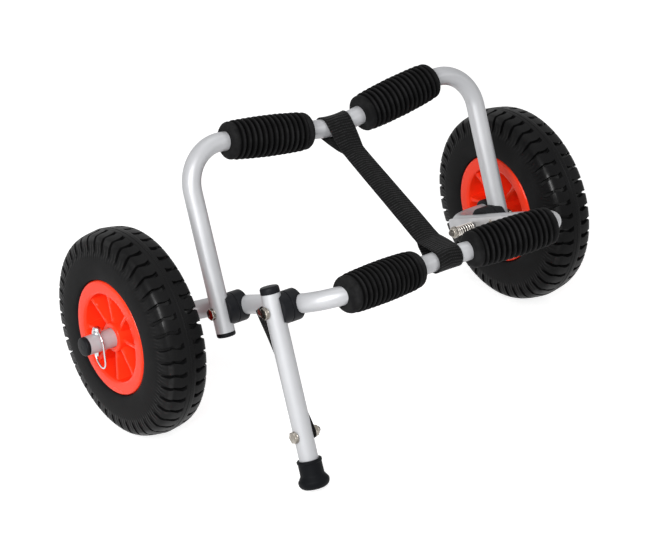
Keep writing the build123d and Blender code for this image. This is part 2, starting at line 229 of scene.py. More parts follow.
def foamPattern(shader):
    # closed-cell grip: pin pores, a rubbed bloom, soft mottling and painted shade in the rib grooves
    where = shader.places()
    pores = shader.node("ShaderNodeTexVoronoi", {"feature": "F1"},
                        {"Vector": where, "Scale": 1500.0})
    fine = shader.noise(where, 1100.0, 3.0, 0.65)
    mottle = shader.noise(where, 60.0, 4.0, 0.6)
    bloom = mottle.between(0.35, 0.75)
    hollow = shader.node("ShaderNodeAttribute", {"attribute_name": "hollow"}, output="Fac")
    crest = bloom.blend(colour(0.008, 0.008, 0.0083), colour(0.018, 0.018, 0.0185))
    return {
        # painted shade: the colour falls to near black where the hollow attribute marks a rib's groove
        "Base Color": hollow.blend(crest, colour(0.0006, 0.0006, 0.0007)),
        "Roughness": 0.5 + 0.22 * mottle,
        "Normal": shader.bump(fine + 0.6 * pores, 0.00025, 0.55),
    }


def plasticPattern(shader):
    # moulded black nylon: fine spark grain, slightly polished in patches
    where = shader.places()
    grain = shader.noise(where, 1800.0, 2.0, 0.6)
    rubbed = shader.noise(where, 85.0, 3.0)
    return {
        "Base Color": rubbed.blend(colour(0.0045, 0.005, 0.0065), colour(0.0085, 0.009, 0.0105)),
        "Roughness": 0.34 + 0.2 * rubbed,
        "Normal": shader.bump(grain, 0.00006, 0.6),
    }


def footPattern(shader):
    # soft rubber with scuffs near the floor
    where = shader.places()
    height = shader.parts(where)[2]
    scuff = shader.noise(where, 240.0, 5.0, 0.7)
    low = 1 - height.between(0.002, 0.012)
    paleShare = (scuff * low).between(0.35, 0.6)
    return {
        "Base Color": paleShare.blend(colour(0.0045, 0.005, 0.006), colour(0.016, 0.016, 0.0165)),
        "Roughness": 0.42 + 0.25 * scuff,
        "Normal": shader.bump(scuff, 0.00012, 0.5),
    }


def tyrePattern(shader):
    # radius from the axle separates the tread from the smooth wall with its moulded rings
    where = shader.stretched(shader.places(), (1, 1, 1), (0, -axle.y, -axle.z))
    x, y, z = shader.parts(where)
    radius = (y * y + z * z) ** 0.5
    wall = 1 - radius.between(0.099, 0.104)
    grain = shader.noise(where, 1500.0, 3.0, 0.6)
    cloud = shader.noise(where, 26.0, 4.0, 0.6)
    rings = (radius * 5200.0).wave() * wall
    dust = cloud.between(0.4, 0.8) * wall
    # the lugs' outer corners are the glossiest
    shoulder = radius.between(0.1165, 0.119) * (1 - radius.between(0.1212, 0.1232))
    tread = cloud.blend(colour(0.0035, 0.0035, 0.0037), colour(0.006, 0.006, 0.0062))
    return {
        "Base Color": dust.blend(tread, colour(0.0095, 0.0095, 0.01)),
        "Roughness": 0.36 + 0.12 * cloud + 0.2 * wall,
        "Coat Weight": shoulder * cloud.between(0.42, 0.6) * 0.26,
        "Normal": shader.bump(0.5 * grain + 0.25 * rings, 0.00012, 0.55),
    }


def rimPattern(shader):
    # gloss moulded rim: faint flow marks and a little orange peel
    where = shader.places()
    flow = shader.noise(where, 14.0, 3.0, 0.5)
    peel = shader.noise(where, 320.0, 1.0)
    return {
        "Base Color": flow.between(0.3, 0.7).blend(colour(0.93, 0.036, 0.008),
                                                   colour(1.0, 0.046, 0.012)),
        "Roughness": 0.2 + 0.12 * flow,
        "Normal": shader.bump(peel, 0.00005, 0.35),
    }


def steelPattern(shader):
    # plated bolts: a warm tint that comes and goes
    where = shader.places()
    tint = shader.noise(where, 150.0, 3.0)
    turned = shader.noise(where, 1400.0, 2.0)
    return {
        "Base Color": tint.between(0.35, 0.7).blend(colour(0.25, 0.23, 0.2),
                                                    colour(0.42, 0.39, 0.35)),
        "Roughness": 0.12 + 0.2 * tint,
        "Normal": shader.bump(turned, 0.00004, 0.4),
    }


def darkPattern(shader):
    # oiled threads
    where = shader.places()
    film = shader.noise(where, 300.0, 3.0)
    return {
        "Base Color": film.blend(colour(0.05, 0.045, 0.04), colour(0.14, 0.13, 0.115)),
        "Roughness": 0.3 + 0.2 * film,
        "Normal": shader.bump(film, 0.00005, 0.4),
    }


def springPattern(shader):
    # bright drawn wire
    where = shader.places()
    smear = shader.noise(where, 400.0, 2.0)
    return {
        "Base Color": smear.blend(colour(0.62, 0.58, 0.53), colour(0.8, 0.77, 0.73)),
        "Roughness": 0.16 + 0.14 * smear,
        "Normal": shader.bump(smear, 0.00004, 0.3),
    }


def chromePattern(shader):
    # smeared zinc plating
    where = shader.places()
    smear = shader.noise(where, 210.0, 2.0)
    return {
        "Base Color": smear.blend(colour(0.46, 0.47, 0.49), colour(0.66, 0.66, 0.67)),
        "Roughness": 0.08 + 0.14 * smear,
        "Normal": shader.bump(smear, 0.00008, 0.3),
    }


def webbingPattern(shader):
    # ribbed webbing from the piece's own map: across in metres, then along in metres
    across, along, _ = shader.parts(shader.node("ShaderNodeUVMap", {"uv_map": "strap"}))
    slant = along + 0.14 * across.size()
    ribs = (slant * (2 * pi / 0.0034)).wave()
    ends = (across * (2 * pi / 0.0031) + 1.6 * ribs).wave()
    weave = 0.7 * ribs + 0.28 * ends
    fuzz = shader.noise(shader.places(), 1900.0, 3.0, 0.7)
    patch = shader.noise(shader.places(), 260.0, 3.0, 0.65)
    # painted shade and highlight: the colour darkens in the weave's dips and lightens on its ribs, and the
    # random patches on top are wear
    paleShare = (weave + 2.6 * (patch - 0.5)).between(0.15, 1.3)
    return {
        "Base Color": paleShare.blend(colour(0.0009, 0.0009, 0.001), colour(0.026, 0.026, 0.027)),
        "Roughness": 0.6 + 0.2 * fuzz,
        "Normal": shader.bump(weave + 0.4 * fuzz, 0.0006, 0.8),
    }


finishes = {
    "aluminium_tube": finish("satinAluminium", {"Metallic": 0.25, "Specular IOR Level": 0.3},
                             aluminiumPattern),
    "foam": finish("foamGrip", {"Specular IOR Level": 0.03}, foamPattern),
    "black_plastic": finish("blackNylon", {"Specular IOR Level": 0.1}, plasticPattern),
    "rubber_foot": finish("footRubber", {"Specular IOR Level": 0.06}, footPattern),
    "webbing": finish("blackWebbing", {"Specular IOR Level": 0.1, "Sheen Weight": 0.03}, webbingPattern),
    "bolt_steel": finish("stainlessBolt", {"Metallic": 1.0}, steelPattern),
    "pin_chrome": finish("platedPin", {"Metallic": 1.0}, chromePattern),
    "tyre_rubber": finish("tyreRubber", {"Specular IOR Level": 0.07, "Coat Roughness": 0.13}, tyrePattern),
    "rim_plastic": finish("glossRim", {"Specular IOR Level": 0.14, "Coat Weight": 0.12,
                                       "Coat Roughness": 0.14}, rimPattern),
}
springFinish = finish("springSteel", {"Metallic": 1.0}, springPattern)
darkThreads = finish("oiledThreads", {"Metallic": 1.0}, darkPattern)
plateFinish = finish("rolledPlate", {"Metallic": 0.8}, platePattern)
print("finishes made")


# Mesh helpers

def everything(shape):
    return shape.verts[:] + shape.edges[:] + shape.faces[:]


def eased(shape, edges, offset, segments):
    bmesh.ops.bevel(shape, geom=edges, offset=offset, segments=segments, profile=0.5, affect="EDGES",
                    material=-1)


def softened(corners, steps):
    # corners as (height, radius, rounding) become a profile with arcs
    points = []
    for i, (height, radius, rounding) in enumerate(corners):
        here = Vector((height, radius))
        if not rounding:
            points.append(here)
            continue
        back = (Vector(corners[i - 1][:2]) - here).normalized()
        ahead = (Vector(corners[i + 1][:2]) - here).normalized()
        half = back.angle(ahead) / 2
        middle = here + (back + ahead).normalized() * rounding / sin(half)
        arms = [here + way * rounding / tan(half) - middle for way in (back, ahead)]
        first, last = (atan2(arm.y, arm.x) for arm in arms)
        sweep = (last - first + pi) % (2 * pi) - pi
        for k in range(steps + 1):
            angle = first + sweep * k / steps
            points.append(middle + rounding * Vector((cos(angle), sin(angle))))
    return [(point.x, point.y) for point in points]


def turned(profile, steps, place):
    # a profile of (height, radius), spun round Z and then put in its place
    shape = bmesh.new()
    dots = [shape.verts.new((radius, 0, height)) for height, radius in profile]
    lines = [shape.edges.new(pair) for pair in zip(dots, dots[1:])]
    bmesh.ops.spin(shape, geom=dots + lines, cent=(0, 0, 0), axis=(0, 0, 1), angle=2 * pi,
                   steps=steps, use_merge=True)
    bmesh.ops.remove_doubles(shape, verts=shape.verts, dist=2e-6)
    bmesh.ops.transform(shape, matrix=place, verts=shape.verts)
    return shape


def lathed(corners, arcSteps, segments, place, stretch=1):
    # corners in millimetres, softened, spun and put in place
    profile = [(height * mm * stretch, radius * mm) for height, radius in softened(corners, arcSteps)]
    return turned(profile, segments, place)


def repeated(shape, count):
    # one pitch, copied round X until the ring is full
    bmesh.ops.spin(shape, geom=everything(shape), cent=(0, 0, 0), axis=(1, 0, 0),
                   angle=2 * pi - 2 * pi / count, steps=count - 1, use_duplicate=True)


def roundedPath(corners, step=radians(4)):
    # corners as (point, rounding) become points, with arcs at the corners
    points = []
    for i, (here, rounding) in enumerate(corners):
        here = Vector(here)
        if not rounding:
            points.append(here)
            continue
        back = (Vector(corners[i - 1][0]) - here).normalized()
        ahead = (Vector(corners[(i + 1) % len(corners)][0]) - here).normalized()
        half = back.angle(ahead) / 2
        middle = here + (back + ahead).normalized() * rounding / sin(half)
        start = here + back * rounding / tan(half) - middle
        axis = back.cross(ahead)
        count = max(4, round((pi - 2 * half) / step))
        for k in range(count + 1):
            turn = Matrix.Rotation(-(pi - 2 * half) * k / count, 3, axis)
            points.append(middle + turn @ start)
    return points


def pathFrames(points, closed=False):
    # upright frames along a path, each turned from the last without twist
    frames = []
    count = len(points)
    for i, point in enumerate(points):
        before = points[i - 1] if i or closed else point
        after = points[(i + 1) % count] if i < count - 1 or closed else point
        tangent = (after - before).normalized()
        if frames:
            turn = lastTangent.rotation_difference(tangent) @ turn
        else:
            turn = Vector((0, 0, 1)).rotation_difference(tangent)
        frames.append(Matrix.Translation(point) @ turn.to_matrix().to_4x4())
        lastTangent = tangent
    return frames


def swept(points, radius, segments, closed=False, place=Matrix()):
    # a circle extruded from frame to frame along a path
    frames = pathFrames(points, closed)
    shape = bmesh.new()
    bmesh.ops.create_circle(shape, segments=segments, radius=radius, matrix=frames[0])
    first = loop = list(shape.edges)
    for here, there in zip(frames, frames[1:]):
        grown = bmesh.ops.extrude_edge_only(shape, edges=loop)["geom"]
        dots = {part for part in grown if isinstance(part, bmesh.types.BMVert)}
        loop = [part for part in grown
                if isinstance(part, bmesh.types.BMEdge) and dots.issuperset(part.verts)]
        bmesh.ops.transform(shape, matrix=there @ here.inverted(), verts=list(dots))
    if closed:
        bmesh.ops.bridge_loops(shape, edges=first + loop)
    else:
        bmesh.ops.contextual_create(shape, geom=first)
        bmesh.ops.contextual_create(shape, geom=loop)
    bmesh.ops.transform(shape, matrix=place, verts=shape.verts)
    return shape


def hexagonal(width, low, high, chamfer, place, bothEnds=False):
    # a hexagonal prism along Z with its outer rim eased
    shape = bmesh.new()
    radius = width / sqrt(3)
    middle = Matrix.Translation((0, 0, (low + high) / 2))
    bmesh.ops.create_cone(shape, cap_ends=True, segments=6, radius1=radius, radius2=radius,
                          depth=high - low, matrix=middle)
    rims = [edge for edge in shape.edges
            if all(dot.co.z > high - 1e-6 for dot in edge.verts)
            or bothEnds and all(dot.co.z < low + 1e-6 for dot in edge.verts)]
    eased(shape, rims, chamfer, 3)
    uprights = [edge for edge in shape.edges
                if abs(edge.verts[0].co.z - edge.verts[1].co.z) > (high - low) / 2]
    eased(shape, uprights, 0.35 * mm, 2)
    bmesh.ops.transform(shape, matrix=place, verts=shape.verts)
    return shape


def joined(shapes):
    whole = bmesh.new()
    for shape in shapes:
        carrier = bpy.data.meshes.new("carrier")
        shape.to_mesh(carrier)
        shape.free()
        whole.from_mesh(carrier)
        bpy.data.meshes.remove(carrier)
    return whole


def newPiece(name, shape, slot, body=None, replaced=(), crease=40, material=None, outward=True):
    if outward:
        bmesh.ops.recalc_face_normals(shape, faces=shape.faces)
    mesh = bpy.data.meshes.new(name)
    shape.to_mesh(mesh)
    shape.free()
    mesh.shade_smooth()
    mesh.set_sharp_from_angle(angle=radians(crease))
    mesh.materials.append(material or finishes[slot])
    piece = bpy.data.objects.new(name, mesh)
    scene.collection.objects.link(piece)
    if body:
        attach(piece, body)
    if replaced:
        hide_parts(*replaced)
    return piece


def smoothStep(value, low, high):
    share = min(1, max(0, (value - low) / (high - low)))
    return share * share * (3 - 2 * share)


def smoothMax(first, second, blend):
    overlap = max(blend - abs(first - second), 0) / blend
    return max(first, second) + overlap * overlap * blend / 4


def interpolated(table, value):
    # straight runs between the (position, level) pairs of a table
    for (low, before), (high, after) in zip(table, table[1:]):
        if value <= high:
            return before + (after - before) * max(0, value - low) / (high - low)
    return table[-1][1]


# Frame tubes

def barCorners(halfSpan, reach, foot):
    dip = halfSpan * tan(tube["dip"])
    return [((-halfSpan, 0, foot), 0), ((-halfSpan, 0, reach), tube["bend"]),
            ((0, 0, reach - dip), tube["vertex"]),
            ((halfSpan, 0, reach), tube["bend"]), ((halfSpan, 0, foot), 0)]


def addTube(name, points, place, body, node):
    newPiece(name, swept(points, tube["radius"], tube["segments"], place=place), "aluminium_tube", body,
             [node])


frontCorners = barCorners(frontX, cart["frontReach"], 0)
for end in (0, -1):
    frontCorners[end] = (frontCorners[end][0], tube["bend"])
frontCorners = [((-axleHalf, 0, 0), 0)] + frontCorners + [((axleHalf, 0, 0), 0)]
addTube("frontTube", roundedPath(frontCorners), frontPlace, "front_frame", "front_frame_tube")
rearCorners = barCorners(rearX, cart["rearReach"], -cart["tail"])
addTube("rearTube", roundedPath(rearCorners), rearPlace, "rear_frame", "rear_frame_tube")

# the foot's rolled edge, edge wide and inset from the stand's axis, touches the floor
stand = {"top": 20.5 * mm, "edge": 8 * mm, "inset": 10.5 * mm, "tubeStart": 12 * mm}
edgeHeight = standPivot.z - stand["edge"] - stand["inset"] * sin(cart["lean"])
standLength = edgeHeight / cos(cart["lean"]) + stand["edge"]
standEnds = [Vector((-rearX, 0, height)) for height in (stand["top"], stand["tubeStart"] - standLength)]
addTube("standTube", standEnds, standPlace, "stand", "stand_tube")
print("tubes made")


# Foam grips: barrelled sleeves with moulded ribs

grip = {"inner": 40 * mm, "outer": 155 * mm, "radius": 25.2 * mm, "endRadius": 23.0 * mm,
        "ribs": 13, "collar": 9.5 * mm, "depth": 3.2 * mm, "ribSteps": 10, "round": 6 * mm, "steps": 72,
        "fall": 1.9, "endDrop": 0.4 * mm, "endDepth": 0.55, "dark": (0.12, 0.65),
        "unevenness": 0.35 * mm, "draw": 0.2 * mm}


def gripWave(share):
    # 0 on a rib's crest and 1 in the groove beside it
    return abs(2 * (share * grip["ribs"] % 1) - 1)


def gripShape(seed):
    length = (grip["outer"] - grip["inner"]) / cos(tube["dip"])
    ends = [(0, 0, 0), (0, grip["endRadius"] - grip["endDrop"], grip["round"]),
            (grip["collar"], grip["endRadius"], 0)]
    start = softened(ends, 7)[:-1]
    span = length - 2 * grip["collar"]
    rows = grip["ribs"] * grip["ribSteps"]
    profile = list(start)
    for k in range(rows + 1):
        share = k / grip["ribs"] / grip["ribSteps"]
        along = grip["collar"] + span * share
        middle = 1 - (2 * along / length - 1) ** 2
        swell = grip["endRadius"] + (grip["radius"] - grip["endRadius"]) * middle
        depth = grip["depth"] * (grip["endDepth"] if k in (0, rows) else 1)
        profile.append((along, swell - depth * gripWave(share) ** grip["fall"]))
    profile += [(length - height, radius) for height, radius in reversed(start)]
    shape = turned(profile, grip["steps"], Matrix())
    layer = shape.verts.layers.float.new("hollow")
    for dot in shape.verts:
        share = (dot.co.z - grip["collar"]) / span
        if 0 < share < 1:
            # painted shade: each vertex's share of the near-black groove colour, highest in a rib's groove
            dot[layer] = smoothStep(gripWave(share), *grip["dark"])
        out = Vector((dot.co.x, dot.co.y, 0))
        if out.length > tube["radius"]:
            ripple = noise.noise(dot.co * 55 + Vector((seed * 7.3, 0, 0)))
            fine = noise.noise(dot.co * 260 + Vector((0, seed * 3.1, 0)))
            shift = grip["unevenness"] * (0.7 * ripple + 0.3 * fine) - grip["draw"]
            dot.co += out.normalized() * shift
    return shape


for side, word, low in sides:
    for seed, (where, halfSpan, reach, place) in enumerate(bars):
        shape = gripShape(seed * 2 + side)
        height = reach - (halfSpan - grip["inner"]) * tan(tube["dip"])
        tilt = Matrix.Rotation(side * (pi / 2 - tube["dip"]), 4, "Y")
        seat = place @ Matrix.Translation((side * grip["inner"], 0, height)) @ tilt
        bmesh.ops.transform(shape, matrix=seat, verts=shape.verts)
        piece = newPiece(f"{where}Grip{word}", shape, "foam", f"{where}_frame",
                         [f"{where}_pad_{low}"], crease=70)
print("grips made")


# Tyres: one pitch of tread and wall, spun round the axle

# millimetres; columns are shares of a pitch, kinks and widths a groove's shift and width at each x
tyre = {"radius": 127.0, "count": 44, "depth": 4.8, "ridges": 0.55, "phases": {-1: 0.04, 1: 0.26},
        "grooveShare": (0.112, 0.15),
        "columns": [0, 0.06, 0.112, 0.15, 0.19, 0.26, 0.333, 0.42, 0.5],
        "kinks": [(6, 0), (11, 1.9), (16, 0.7), (21, -0.8), (26.5, 1.2), (29.5, 2.4), (34, 2.4)],
        "widths": [(6, 1.15), (12, 1.05), (17, 0.72), (22, 0.72), (29, 1.0), (34, 1.0)]}
# across the half tyre: x and radius in millimetres, and how deep the grooves are there
tyreRows = [
    (0, 127.0, 0), (0.35, 126.95, 0), (0.7, 126.55, 0), (3.2, 126.5, 0), (5.4, 126.35, 0), (5.95, 126.1, 0),
    (6.15, 126.1, 0.6), (6.9, 126.05, 1), (9, 125.8, 1), (11.5, 125.45, 1), (14, 125.0, 1), (16.5, 124.5, 1),
    (19, 123.85, 1), (21, 123.1, 1), (23, 122.0, 1), (24.8, 120.4, 1), (26.2, 118.3, 1), (27.3, 115.8, 0.98),
    (28.2, 112.8, 0.85), (28.9, 110, 0.6), (29.5, 107, 0.34), (29.9, 104.6, 0.12), (30.3, 102, 0),
    (30.9, 98, 0), (31.5, 93, 0), (31.9, 88, 0), (32, 83.5, 0), (31.8, 78.5, 0), (31.4, 74.6, 0),
    (30.6, 72.3, 0), (29.3, 71.2, 0), (27.5, 70.8, 0), (24, 70.7, 0), (24, 58.6, 0), (0, 58.6, 0),
]


def tyreShape(phase):
    pitch = 2 * pi / tyre["count"]
    columns = [-u for u in reversed(tyre["columns"][1:])] + tyre["columns"]
    whole = []
    for side in (-1, 1):
        shape = bmesh.new()
        bmesh.ops.create_grid(shape, x_segments=len(columns) - 1, y_segments=len(tyreRows) - 1,
                              size=0.5)
        for dot in shape.verts:
            share = columns[round((dot.co.x + 0.5) * (len(columns) - 1))]
            row = round((dot.co.y + 0.5) * (len(tyreRows) - 1))
            x, radius, groove = tyreRows[row]
            before = tyreRows[max(0, row - 1)]
            after = tyreRows[min(len(tyreRows) - 1, row + 1)]
            along = Vector((after[0] - before[0], after[1] - before[1])).normalized()
            outward = Vector((-along.y, along.x))
            inGroove = 1 - smoothStep(abs(share), *tyre["grooveShare"])
            turn = share
            if abs(share) < 0.2 and groove:
                turn *= interpolated(tyre["widths"], x)
            ridge = smoothStep(radius, 99, 104) * (1 - smoothStep(radius, 111, 115))
            if x < 20:
                ridge = 0
            fins = 0.5 + 0.5 * cos(6 * pi * share)
            hollow = tyre["depth"] * groove * inGroove
            hollow += tyre["ridges"] * ridge * fins * (1 - inGroove * groove)
            if x < 23 and radius > 120:
                outward = Vector((0, 1))
            spot = Vector((x, radius)) - outward * hollow
            shear = 0
            if x > 6 and radius > 100:
                shear = interpolated(tyre["kinks"], x) * groove / max(groove, 0.3)
            offset = phase * smoothStep(x, 0.8, 5) if side < 0 else 0
            angle = pitch * (turn + offset) + shear / tyre["radius"]
            dot.co = Vector((side * spot.x, -spot.y * sin(angle), spot.y * cos(angle))) * mm
        repeated(shape, tyre["count"])
        whole.append(shape)
    shape = joined(whole)
    bmesh.ops.remove_doubles(shape, verts=shape.verts, dist=8e-6)
    return shape


# Rims: one rib's sector of a face, spun round and mirrored

# offsets are the grid's columns beside a rib's middle, and spread the columns from there to the next rib
rim = {"ribs": 8, "start": radians(37), "halfRib": 2.2, "steep": 10.0, "blend": 3.2, "flare": 0.9,
       "hub": 18, "hubTop": 24.0, "lip": 54, "lipTop": 27.0, "fan": 9, "spread": 5,
       "offsets": [0, 1.0, 1.7, 2.1, 2.5, 2.9, 3.3, 3.8, 4.6, 6.0]}
# x, radius and rounding in millimetres, from the bead round to the bore
rimCorners = [
    (0, 58.5, 0), (24, 58.5, 0), (24, 70.4, 0), (31, 70.4, 3.2), (31, 54, 3.4), (2.5, 52.3, 2.2),
    (2.5, 18.8, 2.4), (28, 17.8, 1.6), (28, 12.4, 0.6), (27.2, 11.6, 0), (0, 11.6, 0),
]


def rimShape():
    rows = []
    for x, radius in softened(rimCorners, 6):
        if rows:
            lastX, lastRadius = rows[-1]
            gap = max(abs(x - lastX), abs(radius - lastRadius))
            inWell = 16 < radius < 56 and gap > 4
            count = int(gap / 3) + 1 if inWell else 1
            for k in range(1, count):
                rows.append((lastX + (x - lastX) * k / count,
                             lastRadius + (radius - lastRadius) * k / count))
        rows.append((x, radius))
    offsets = rim["offsets"]
    columns = len(offsets) + rim["spread"]
    sector = pi / rim["ribs"]
    shape = bmesh.new()
    bmesh.ops.create_grid(shape, x_segments=2 * columns - 2, y_segments=len(rows) - 1, size=0.5)
    for dot in shape.verts:
        column = round((dot.co.x + 0.5) * (2 * columns - 2)) - columns + 1
        x, radius = rows[round((dot.co.y + 0.5) * (len(rows) - 1))]
        edge = radius * sector
        squeeze = min(1, edge / rim["fan"])
        last = offsets[-1] * squeeze
        if abs(column) < len(offsets):
            across = offsets[abs(column)] * squeeze
        else:
            across = last + (edge - last) * (abs(column) - len(offsets) + 1) / rim["spread"]
        if 12.5 < radius < 57:
            slope = (radius - rim["hub"]) / (rim["lip"] - rim["hub"])
            top = rim["hubTop"] + (rim["lipTop"] - rim["hubTop"]) * slope
            flare = smoothStep(radius, 44, 53) + 1 - smoothStep(radius, 18, 25)
            rib = top - rim["steep"] * max(0, across - rim["halfRib"] - rim["flare"] * flare)
            rib -= 0.5 * smoothStep(across, 1.2, 2.2)
            x = smoothMax(x, max(rib, 0), rim["blend"])
        angle = rim["start"] + (across if column >= 0 else -across) / radius
        dot.co = Vector((x, -radius * sin(angle), radius * cos(angle))) * mm
    repeated(shape, rim["ribs"])
    bmesh.ops.remove_doubles(shape, verts=shape.verts, dist=8e-6)
    bmesh.ops.mirror(shape, geom=everything(shape), axis="X", merge_dist=8e-6)
    bmesh.ops.remove_doubles(shape, verts=shape.verts, dist=8e-6)
    return shape


for side, word, low in sides:
    place = Matrix.Translation(axle + Vector((side * wheelX, 0, 0)))
    for part, shape, slot, crease in (("tyre", tyreShape(tyre["phases"][side]), "tyre_rubber", 38),
                                      ("rim", rimShape(), "rim_plastic", 50)):
        bmesh.ops.transform(shape, matrix=place, verts=shape.verts)
        newPiece(f"{part}{word}", shape, slot, f"wheel_{low}", [f"{part}_{low}"], crease)
print("wheels made")


# Moulded saddles: the solids' shapes with their edges eased

saddle = {"cut": 7 * mm, "voxel": 0.65 * mm, "ease": 0.5, "passes": 4}
saddleBodies = {"front_saddle_left": "front_frame", "front_saddle_right": "front_frame",
                "leg_saddle": "front_frame", "rear_saddle_left": "rear_frame",
                "rear_saddle_right": "rear_frame", "stand_saddle": "stand"}

for node, body in saddleBodies.items():
    shape = bmesh.new()
    shape.from_mesh(frame["nodes"][node].data)
    bmesh.ops.remove_doubles(shape, verts=shape.verts, dist=5e-6)
    if body == "front_frame":
        # the inner cup ends short, so that more of the leg shows
        side = -1 if centreOf(node).x < 0 else 1
        cutX = min(side * corner.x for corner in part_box(node)) + saddle["cut"]
        bmesh.ops.bisect_plane(shape, geom=everything(shape), plane_co=(side * cutX, 0, 0),
                               plane_no=(-side, 0, 0), clear_outer=True)
        openEdges = [edge for edge in shape.edges if edge.is_boundary]
        bmesh.ops.holes_fill(shape, edges=openEdges, sides=0)
    words = node.split("_")
    name = words[0] + "".join(word.title() for word in words[1:]) + "Moulded"
    piece = newPiece(name, shape, "black_plastic", body, [node], crease=180, outward=False)
    remesh = piece.modifiers.new("moulded", "REMESH")
    remesh.mode = "VOXEL"
    remesh.voxel_size = saddle["voxel"]
    remesh.use_smooth_shade = True
    ease = piece.modifiers.new("eased", "SMOOTH")
    ease.factor = saddle["ease"]
    ease.iterations = saddle["passes"]
print("saddles made")


# Plugs and caps

plug = {"corners": [(-1, 0, 0), (-1, 9.4, 0), (0, 9.4, 0), (0, 11.5, 0.4), (5.4, 11.5, 2.2),
                    (5.9, 3.0, 0.8), (5.7, 0, 0)], "standStretch": 1.5}
spacer = {"corners": [(0, 11.6, 0), (0, 16.5, 0.8), (13, 16.5, 0.6), (13.6, 15.2, 0.5), (20, 15.2, 0.8),
                      (20, 11.6, 0), (0, 11.6, 0)], "half": 10 * mm}


def addPlug(name, node, place, body, stretch=1):
    shape = lathed(plug["corners"], 5, 48, place, stretch)
    newPiece(name, shape, "black_plastic", body, [node], crease=45)


standTopPlace = standPlace @ Matrix.Translation((-rearX, 0, stand["top"]))
addPlug("standPlugTop", "stand_plug", standTopPlace, "stand", plug["standStretch"])
for side, word, low in sides:
    tail = Matrix.Translation((side * rearX, 0, -cart["tail"])) @ Matrix.Rotation(pi, 4, "X")
    addPlug(f"rearPlug{word}", f"rear_plug_{low}", rearPlace @ tail, "rear_frame")
    addPlug(f"axleCap{word}", f"axle_cap_{low}", alongX(side, axleHalf, axlePlace), "front_frame")
    place = alongX(side, abs(centreOf(f"wheel_spacer_{low}").x) - spacer["half"], axlePlace)
    newPiece(f"spacer{word}", lathed(spacer["corners"], 3, 48, place), "black_plastic", "front_frame",
             [f"wheel_spacer_{low}"], crease=45)
print("plugs made")


# Bolts, nuts and rivets

# millimetres; end is how far a thread shows past its nut
bolt = {"radius": 4.0, "width": 13.0, "head": 4.3, "nut": 6.5, "end": 2.5, "pitch": 1.25, "threads": 7,
        "washer": [(0, 0, 0), (0, 7.4, 0.2), (0.9, 7.4, 0.4), (0.9, 0, 0)],
        "nutWasher": [(0, 4.0, 0), (0, 7.2, 0.2), (0.8, 7.2, 0.3), (0.8, 4.0, 0), (0, 4.0, 0)],
        "collar": [(0, 4.0, 0), (0, 6.0, 0), (6.4, 6.0, 1.2), (6.4, 4.2, 0.4), (5.0, 4.0, 0), (0, 4.0, 0)]}


def boltShape(side, headX, tipX, place):
    # the head's seat at headX, the threaded tip at tipX
    at = alongX(side, headX, place)
    radius, length = bolt["radius"], (headX - tipX) / mm
    dome = [(0.5, 0, 0), (0.5, 6.2, 0), (bolt["head"] - 0.3, 6.2, 1.0), (bolt["head"], 0, 0)]
    shank = [(0, 0), (0, radius)]
    for k in reversed(range(bolt["threads"])):
        low = -length + 1 + k * bolt["pitch"]
        shank += [(low + bolt["pitch"] / 2, radius), (low, radius - 0.55)]
    shank += [(-length, radius - 0.9), (-length, 0)]
    shank = turned([(height * mm, wide * mm) for height, wide in shank], 32, at)
    for face in shank.faces:
        face.material_index = 1
    return joined([lathed(bolt["washer"], 3, 32, at), lathed(dome, 4, 32, at), shank,
                   hexagonal(bolt["width"] * mm, 0.5 * mm, 4.1 * mm, chamfer=0.8 * mm, place=at)])


def nutShape(side, faceX, place):
    # seated on faceX, its locking collar inboard
    at = alongX(-side, -faceX, place)
    return joined([lathed(bolt["collar"], 4, 32, at), lathed(bolt["nutWasher"], 3, 32, at),
                   hexagonal(bolt["width"] * mm, 0.6 * mm, 4.9 * mm, chamfer=0.6 * mm, place=at,
                             bothEnds=True)])


headX = outerSkin + faceGap
threadEnd = (bolt["nut"] + bolt["end"]) * mm
nutTip = innerSkin - threadEnd
spring = {"length": 27 * mm, "radius": 5.4 * mm, "wire": 0.8 * mm, "turns": 8, "steps": 26}
plate = {"thickness": 3 * mm, "start": 27 * mm, "end": standReach - 2 * mm, "width": 21 * mm,
         "corner": 4 * mm, "edge": 0.5 * mm}
strapBolt = {"height": 64 * mm, "nutGap": 2.2 * mm}
plateFace = innerSkin - plate["thickness"]
lockNutX = plateFace - spring["length"]
strapBoltPlace = standPlace @ Matrix.Translation((0, 0, strapBolt["height"] - standLength))
strapNutX = rearX - tube["radius"] - strapBolt["nutGap"]
fixings = [
    ("foldBoltLeft", boltShape(-1, headX, nutTip, foldAxis), "front_frame", "pivot_bolt_left"),
    ("foldNutLeft", nutShape(-1, innerSkin, foldAxis), "front_frame", "pivot_nut_left"),
    ("standBoltHead", boltShape(-1, headX, nutTip, standAxis), "front_frame", "stand_bolt"),
    ("standBoltNut", nutShape(-1, innerSkin, standAxis), "front_frame", "stand_nut"),
    ("foldBoltRight", boltShape(1, headX, lockNutX - threadEnd, foldAxis), "front_frame",
     "pivot_bolt_right"),
    ("springNut", nutShape(1, lockNutX, foldAxis), "front_frame", "lock_nut"),
    ("strapBolt", boltShape(-1, outerSkin, strapNutX - threadEnd, strapBoltPlace), "stand", "strap_bolt"),
    ("strapBoltNut", nutShape(-1, strapNutX, strapBoltPlace), "stand", "strap_nut"),
]
for name, shape, body, node in fixings:
    piece = newPiece(name, shape, "bolt_steel", body, [node], crease=35)
    if "Bolt" in name and "Nut" not in name:
        piece.data.materials.append(darkThreads)


def coilRise(share):
    # the end turns lie closer than the middle ones
    return 0.1 * share + 0.9 * smoothStep(share, -0.15, 1.15)


